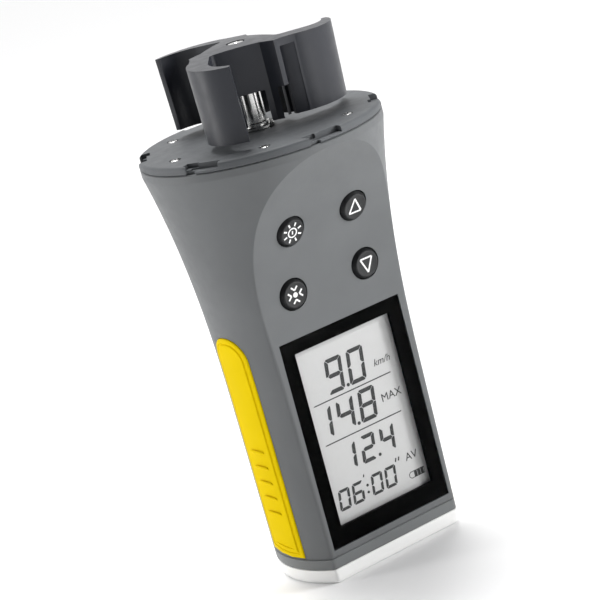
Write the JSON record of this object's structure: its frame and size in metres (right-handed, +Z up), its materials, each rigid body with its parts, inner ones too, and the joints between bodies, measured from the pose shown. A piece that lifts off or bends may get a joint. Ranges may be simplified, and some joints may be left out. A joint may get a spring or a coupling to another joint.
{
  "type": "vane anemometer",
  "caption": "Hand-held wind meter: a flared housing with a display and push buttons, carrying a cup rotor on a spindle above its round deck.",
  "frame": {"origin": "centre of the base's lower face, on the rotor's axis", "axes": "+Z up along the rotor's axis, -Y out of the display, +X to the right when the display is read"},
  "size_m": [0.0646, 0.0646, 0.1414],
  "materials": {
    "body_grey": "fine satin texture",
    "deck_grey": "satin",
    "rotor_black": "semi-gloss",
    "window_black": "gloss",
    "lcd_grey": "satin",
    "button_black": "matt rubber",
    "grip_yellow": "soft satin",
    "base_white": "satin",
    "steel": "polished",
    "brass": "turned",
    "board_green": "solder mask",
    "chip_black": "moulded",
    "seal_rubber": "matt",
    "cell_wrap": "plain printed wrap"
  },
  "bodies": {
    "housing": {"housing_shell": "body_grey", "display_window": "window_black", "lcd_panel": "lcd_grey", "lcd_backlight": "base_white", "main_board": "board_green", "processor_chip": "chip_black", "keypad_board": "board_green", "keypad_mat": "seal_rubber", "switch_1": "steel", "switch_2": "steel", "switch_3": "steel", "switch_4": "steel", "deck_plate": "deck_grey", "deck_seal": "seal_rubber", "deck_screw_1": "steel", "deck_screw_2": "steel", "deck_screw_3": "steel", "deck_screw_4": "steel", "deck_screw_5": "steel", "deck_screw_6": "steel", "spindle_collar": "steel", "sensor_board": "board_green", "hall_sensor": "chip_black", "left_grip": "grip_yellow", "right_grip": "grip_yellow", "battery_tray": "deck_grey", "battery_1": "cell_wrap", "battery_2": "cell_wrap", "contact_spring_1": "steel", "contact_spring_2": "steel", "contact_strip": "steel", "bottom_band": "deck_grey", "base_plate": "base_white", "tripod_insert": "brass", "base_screw_1": "steel", "base_screw_2": "steel"},
    "rotor": {"rotor_wheel": "rotor_black", "rotor_bush": "brass", "hub_cap": "steel", "spindle": "steel", "retaining_clip": "steel", "rotor_magnet": "chip_black"},
    "light_button": {"button_light": "button_black"},
    "centre_button": {"button_centre": "button_black"},
    "up_button": {"button_up": "button_black"},
    "down_button": {"button_down": "button_black"},
    "door": {"battery_door": "body_grey"}
  },
  "joints": [
    {"name": "rotor_spin", "type": "hinge", "parent": "housing", "child": "rotor", "pos_m": [0, 0, 0.12], "axis": [0, 0, 1], "continuous": true},
    {"name": "light_press", "type": "slide", "parent": "housing", "child": "light_button", "axis": [0, 0.9301, 0.3673], "range_m": [0, 0.0006], "stiffness_N_per_m": 1500},
    {"name": "centre_press", "type": "slide", "parent": "housing", "child": "centre_button", "axis": [0, 0.9945, 0.1051], "range_m": [0, 0.0006], "stiffness_N_per_m": 1500},
    {"name": "up_press", "type": "slide", "parent": "housing", "child": "up_button", "axis": [0, 0.9301, 0.3673], "range_m": [0, 0.0006], "stiffness_N_per_m": 1500},
    {"name": "down_press", "type": "slide", "parent": "housing", "child": "down_button", "axis": [0, 0.9945, 0.1051], "range_m": [0, 0.0006], "stiffness_N_per_m": 1500},
    {"name": "door_pull", "type": "slide", "parent": "housing", "child": "door", "axis": [0, 1, 0], "range_m": [0, 0.02]}
  ]
}
